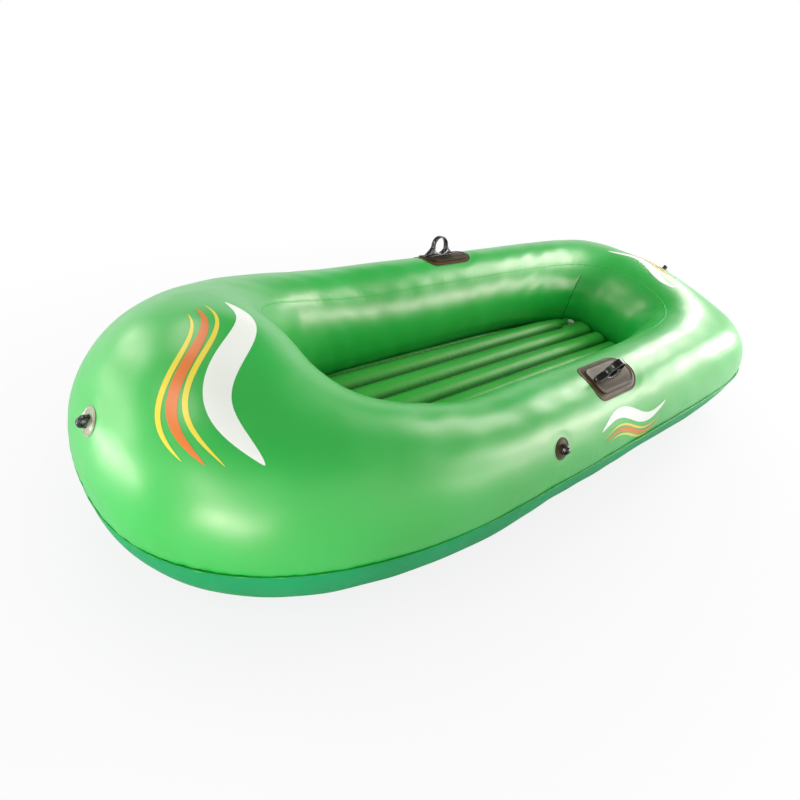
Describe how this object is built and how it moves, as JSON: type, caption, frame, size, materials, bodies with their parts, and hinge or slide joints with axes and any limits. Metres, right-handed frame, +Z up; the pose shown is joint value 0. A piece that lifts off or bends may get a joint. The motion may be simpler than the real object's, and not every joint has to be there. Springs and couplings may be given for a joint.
{
  "type": "inflatable boat",
  "caption": "Small inflatable boat: tubular hull with a raised bow, ribbed air floor, welded oarlock loops, rope eyes and stoppered air valves.",
  "frame": {"origin": "on the ground at mid-length, on the centreline", "axes": "+X to the bow, +Y to port, +Z up"},
  "size_m": [1.9163, 0.764, 0.4219],
  "materials": {
    "hull": "glossy green film",
    "weld": "glossy pressed weld",
    "bottom": "satin film",
    "floor": "glossy green film",
    "web": "matt film",
    "valve": "clear soft plastic",
    "flap": "thin soft plastic",
    "patch": "smoky translucent film",
    "plinth": "smoky translucent plastic",
    "loop": "glossy smoky plastic",
    "eye": "glossy black plastic"
  },
  "bodies": {
    "boat": {"hull_chamber": "hull", "outer_seam": "hull", "rim_weld": "weld", "inner_wall_weld_port": "weld", "inner_wall_weld_starboard": "weld", "bottom_sheet": "bottom", "floor_mattress": "floor", "floor_webs": "web", "hull_valve_stem": "valve", "hull_valve_tether_ring": "valve", "floor_valve_stem": "valve", "floor_valve_tether_ring": "valve", "oarlock_patch_port": "patch", "oarlock_plinth_port": "plinth", "oarlock_loop_port": "loop", "oarlock_patch_starboard": "patch", "oarlock_plinth_starboard": "plinth", "oarlock_loop_starboard": "loop", "rope_patch_bow": "patch", "rope_eye_bow": "eye", "rope_patch_stern": "patch", "rope_eye_stern": "eye", "rope_patch_port": "patch", "rope_eye_port": "eye", "rope_patch_starboard": "patch", "rope_eye_starboard": "eye"},
    "hull_stopper": {"hull_valve_stopper": "valve"},
    "hull_flap": {"hull_valve_check_flap": "flap"},
    "floor_stopper": {"floor_valve_stopper": "valve"},
    "floor_flap": {"floor_valve_check_flap": "flap"}
  },
  "joints": [
    {"name": "hull_stopper_hinge", "type": "hinge", "parent": "boat", "child": "hull_stopper", "pos_m": [-0.41549, 0.13124, 0.15335], "axis": [0, 0, 1], "range_deg": [0, 150]},
    {"name": "hull_flap_hinge", "type": "hinge", "parent": "boat", "child": "hull_flap", "pos_m": [-0.42511, 0.1539, 0.15335], "axis": [0, 0, -1], "range_deg": [0, 60], "stiffness_Nm_per_rad": 0.00001, "springref_deg": -20.05},
    {"name": "floor_stopper_hinge", "type": "hinge", "parent": "boat", "child": "floor_stopper", "pos_m": [-0.542, -0.084, 0.1143], "axis": [0, 1, 0], "range_deg": [0, 150]},
    {"name": "floor_flap_hinge", "type": "hinge", "parent": "boat", "child": "floor_flap", "pos_m": [-0.549, -0.084, 0.0907], "axis": [0, -1, 0], "range_deg": [0, 60], "stiffness_Nm_per_rad": 0.00001, "springref_deg": -20.05}
  ]
}
